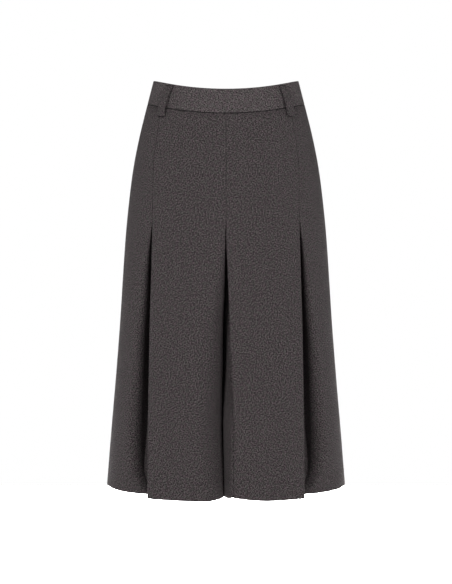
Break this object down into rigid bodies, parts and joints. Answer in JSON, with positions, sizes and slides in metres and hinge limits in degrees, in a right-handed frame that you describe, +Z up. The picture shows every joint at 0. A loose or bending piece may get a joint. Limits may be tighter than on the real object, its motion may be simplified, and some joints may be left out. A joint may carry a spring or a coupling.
{
  "type": "skirt",
  "caption": "Worn-shape A-line midi skirt in marl suiting with an inverted front pleat, side-front pleats, belt-loop waistband and a back zip.",
  "frame": {"origin": "middle of the waist, level with the waistband's top edge at the sides, where the wearer holds it up", "axes": "+Z up along the wearer's body, front faces -Y, +X on the right of someone who looks at the front"},
  "size_m": [0.4216, 0.3041, 0.7061],
  "materials": {
    "suiting": "matt charcoal brown-grey marl suiting",
    "zip_tape": "matt woven tape",
    "zip_metal": "satin paint in the cloth's colour"
  },
  "bodies": {
    "skirt": {"waistband": "suiting", "front_panel_left": "suiting", "front_panel_right": "suiting", "side_front_left": "suiting", "side_front_right": "suiting", "back_panel_left": "suiting", "back_panel_right": "suiting", "pleat_underlay": "suiting", "belt_loop_front_left": "suiting", "belt_loop_front_right": "suiting", "belt_loop_back_left": "suiting", "belt_loop_back_right": "suiting", "zip_tape": "zip_tape", "zip_slider": "zip_metal"},
    "pull": {"zip_pull": "zip_metal"}
  },
  "joints": [
    {"name": "pull_hinge", "type": "hinge", "parent": "skirt", "child": "pull", "pos_m": [0, 0.09978, -0.01763], "axis": [1, 0, 0], "range_deg": [0, 120]}
  ]
}
